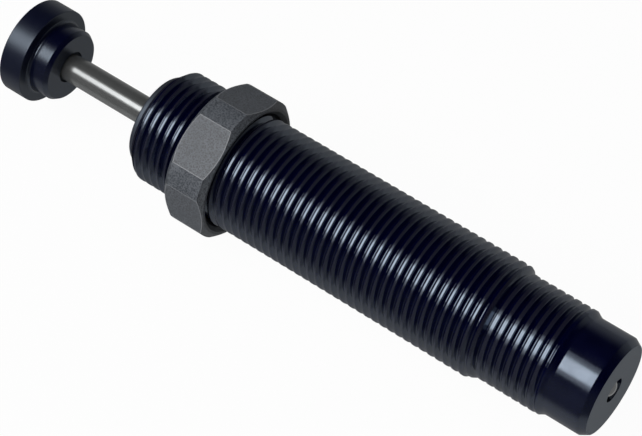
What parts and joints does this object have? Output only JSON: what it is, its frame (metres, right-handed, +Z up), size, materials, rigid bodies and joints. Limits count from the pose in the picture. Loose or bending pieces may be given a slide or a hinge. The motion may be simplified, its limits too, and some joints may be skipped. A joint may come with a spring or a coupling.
{
  "type": "industrial shock absorber",
  "caption": "Threaded hydraulic shock absorber with a turned impact button on a polished rod, a hexagon lock nut and a sealed working cylinder inside.",
  "frame": {"origin": "on the axis, at the seat face of the lock nut in its rest place, where the mounting thread's free length begins", "axes": "+X along the axis towards the closed rear end; -X to the impact button; +Z up"},
  "size_m": [0.1148, 0.0236, 0.0248],
  "materials": {
    "black_oxide": "glossy black oxide on turned steel",
    "ball_steel": "polished bearing steel",
    "spring_black": "oiled black spring steel",
    "seal_rubber": "smooth nitrile rubber",
    "bearing_metal": "turned steel",
    "bronze": "turned bearing bronze",
    "foam": "closed-cell nitrile foam",
    "ptfe": "smooth PTFE",
    "inner_steel": "ground steel",
    "spring_steel": "drawn spring wire",
    "polished_rod": "ground and polished hard steel",
    "button_black": "satin black oxide with fine turning lines",
    "nut_grey": "matt grainy phosphate grey"
  },
  "bodies": {
    "housing": {"outer_body": "black_oxide", "fill_ball": "ball_steel", "retaining_ring": "spring_black", "rod_wiper": "seal_rubber", "rod_bearing": "bearing_metal", "guide_bush": "bronze", "bearing_o_ring": "seal_rubber", "foam_accumulator": "foam", "backup_washer": "ptfe", "rod_seal": "seal_rubber", "seal_o_ring": "seal_rubber", "stop_washer": "inner_steel", "pressure_tube": "inner_steel", "tube_base": "inner_steel", "return_spring": "spring_steel"},
    "spring_carrier": {"spring_seat": "inner_steel"},
    "rod": {"piston_rod": "polished_rod", "impact_button": "button_black", "button_clip": "spring_steel", "piston": "inner_steel", "piston_retainer": "inner_steel"},
    "check": {"check_ring": "bronze"},
    "nut": {"lock_nut": "nut_grey"}
  },
  "joints": [
    {"name": "rod_stroke", "type": "slide", "parent": "housing", "child": "spring_carrier", "axis": [1, 0, 0], "range_m": [0, 0.015], "stiffness_N_per_m": 540, "springref_m": -0.01, "deforming": ["return_spring"]},
    {"name": "rod_spin", "type": "hinge", "parent": "spring_carrier", "child": "rod", "pos_m": [0, 0, 0], "axis": [1, 0, 0], "continuous": true},
    {"name": "check_float", "type": "slide", "parent": "rod", "child": "check", "axis": [1, 0, 0], "range_m": [0, 0.0005]},
    {"name": "nut_travel", "type": "slide", "parent": "housing", "child": "nut", "axis": [1, 0, 0], "range_m": [-0.0075, 0.0465]}
  ]
}
